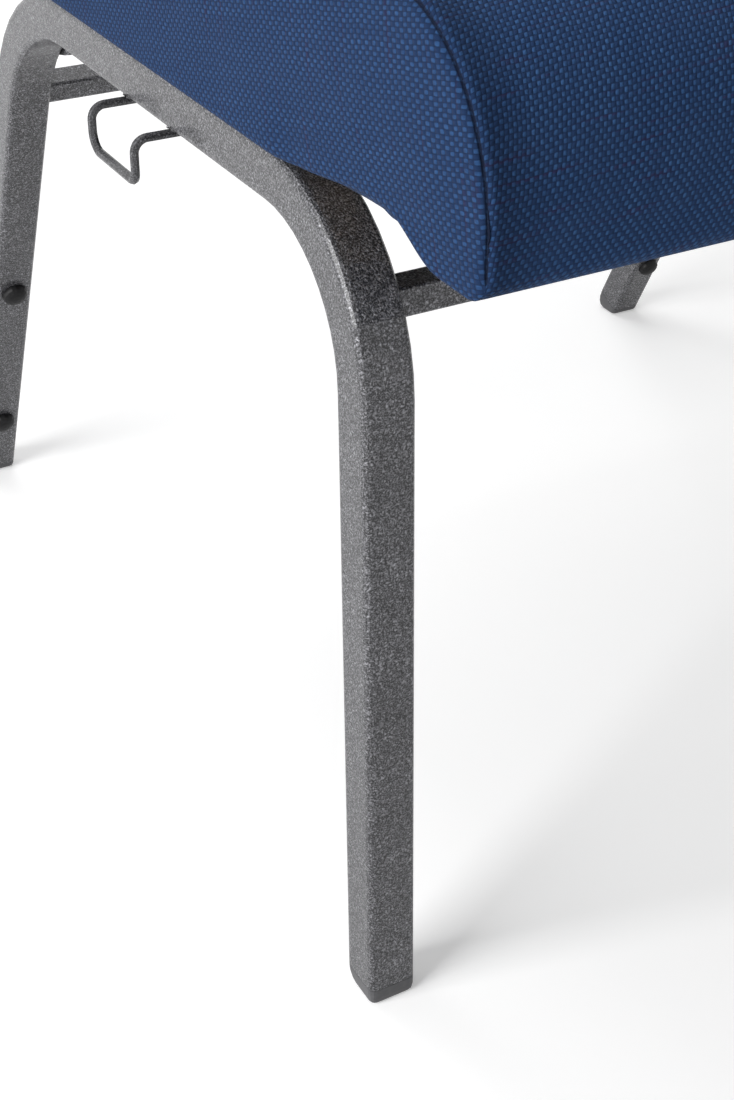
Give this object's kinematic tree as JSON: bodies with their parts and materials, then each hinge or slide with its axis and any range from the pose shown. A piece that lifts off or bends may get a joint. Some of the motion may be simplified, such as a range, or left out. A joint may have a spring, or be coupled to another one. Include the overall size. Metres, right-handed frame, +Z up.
{
  "type": "church chair",
  "caption": "Stacking church chair with a bent square-tube frame, waterfall upholstered seat, padded back, glides, stacking bumpers and a ganging hook and eye.",
  "frame": {"origin": "centre of the bounding box on the floor under the soles", "axes": "+Z up, -Y the way the chair faces, +X to the right of someone who stands in front and looks at it"},
  "size_m": [0.5586, 0.6092, 0.8672],
  "materials": {
    "powder_coat": "silver vein powder coat",
    "dark_plastic": "moulded, matt",
    "black_rubber": "moulded, matt",
    "blue_cloth": "woven blue cloth over foam",
    "black_cloth": "thin non-woven cloth",
    "plywood": "raw plywood",
    "zinc": "bright zinc"
  },
  "bodies": {
    "root": {"left_side_frame": "powder_coat", "right_side_frame": "powder_coat", "front_cross_tube": "powder_coat", "rear_cross_tube": "powder_coat", "back_frame": "powder_coat", "ganging_hook": "powder_coat", "ganging_eye": "powder_coat", "seat_tab_front_left": "powder_coat", "seat_tab_front_right": "powder_coat", "seat_tab_rear_left": "powder_coat", "seat_tab_rear_right": "powder_coat", "glide_front_left": "dark_plastic", "glide_front_right": "dark_plastic", "glide_rear_left": "dark_plastic", "glide_rear_right": "dark_plastic", "bumper_low_left": "black_rubber", "bumper_low_right": "black_rubber", "bumper_high_left": "black_rubber", "bumper_high_right": "black_rubber", "seat_cushion": "blue_cloth", "back_cushion": "blue_cloth", "back_rear_panel": "blue_cloth", "seat_dust_cover": "black_cloth", "seat_board": "plywood", "back_board": "plywood", "seat_screw_front_left": "zinc", "seat_screw_front_right": "zinc", "seat_screw_rear_left": "zinc", "seat_screw_rear_right": "zinc", "seat_tee_nut_front_left": "zinc", "seat_tee_nut_front_right": "zinc", "seat_tee_nut_rear_left": "zinc", "seat_tee_nut_rear_right": "zinc", "back_screw_low_left": "zinc", "back_screw_low_right": "zinc", "back_screw_high_left": "zinc", "back_screw_high_right": "zinc", "back_tee_nut_low_left": "zinc", "back_tee_nut_low_right": "zinc", "back_tee_nut_high_left": "zinc", "back_tee_nut_high_right": "zinc"}
  },
  "joints": []
}
